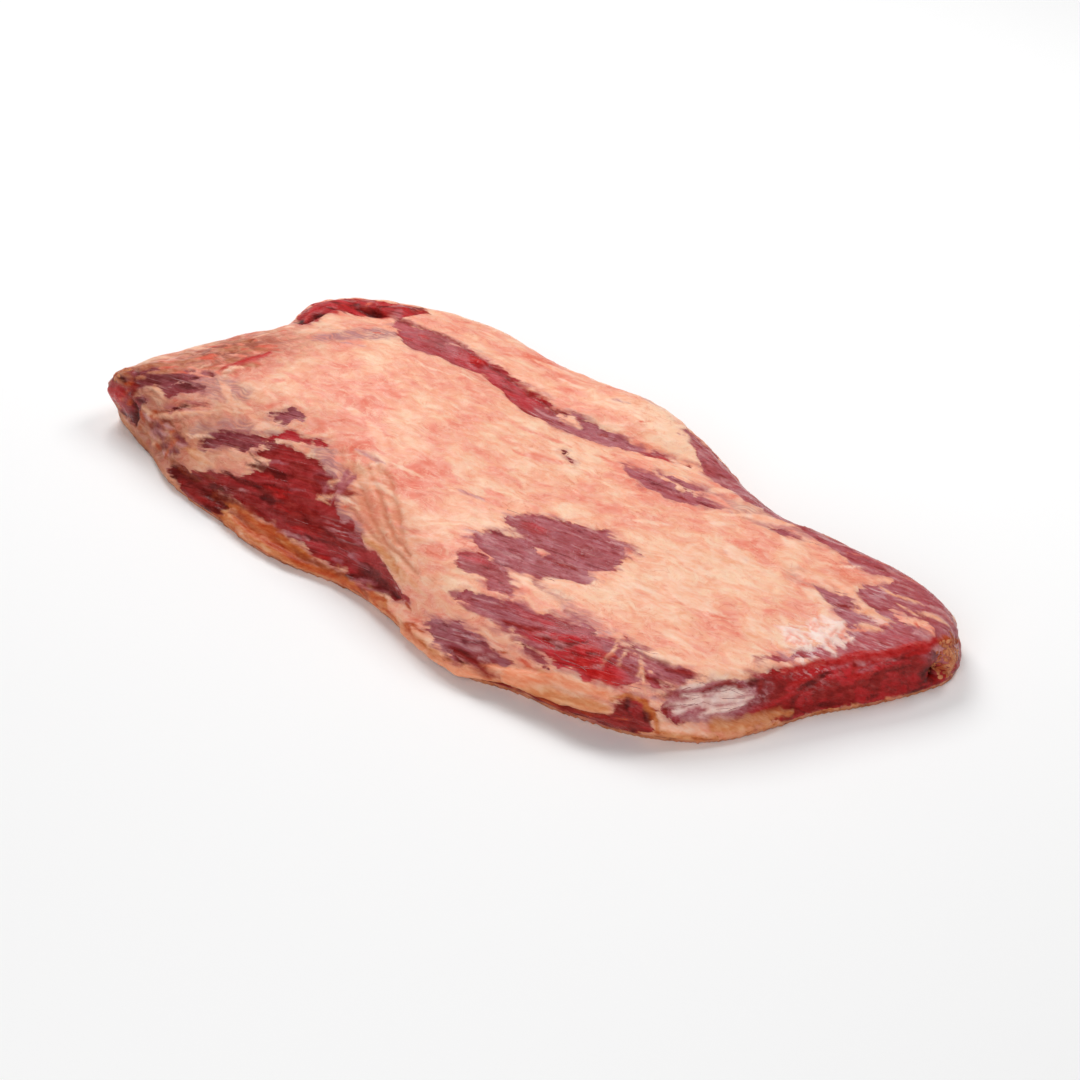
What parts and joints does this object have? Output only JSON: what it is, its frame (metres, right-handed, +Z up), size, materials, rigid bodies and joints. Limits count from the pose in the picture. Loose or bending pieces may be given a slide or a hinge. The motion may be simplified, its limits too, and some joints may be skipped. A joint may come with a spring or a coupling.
{
  "type": "raw beef brisket",
  "caption": "Whole untrimmed raw beef brisket lying on its fat cap: thick tapered point, thinner flat with a cut end, rolled fat edge and bare lean patches on top.",
  "frame": {"origin": "on the surface it lies on, under the middle of the brisket's box", "axes": "+X along the meat from the thick point to the cut end of the thin flat, -Y to the side with the rolled fat edge, +Z up through the rib side"},
  "size_m": [0.5514, 0.2564, 0.071],
  "materials": {
    "raw_meat": null
  },
  "bodies": {
    "root": {"brisket": "raw_meat"}
  },
  "joints": []
}
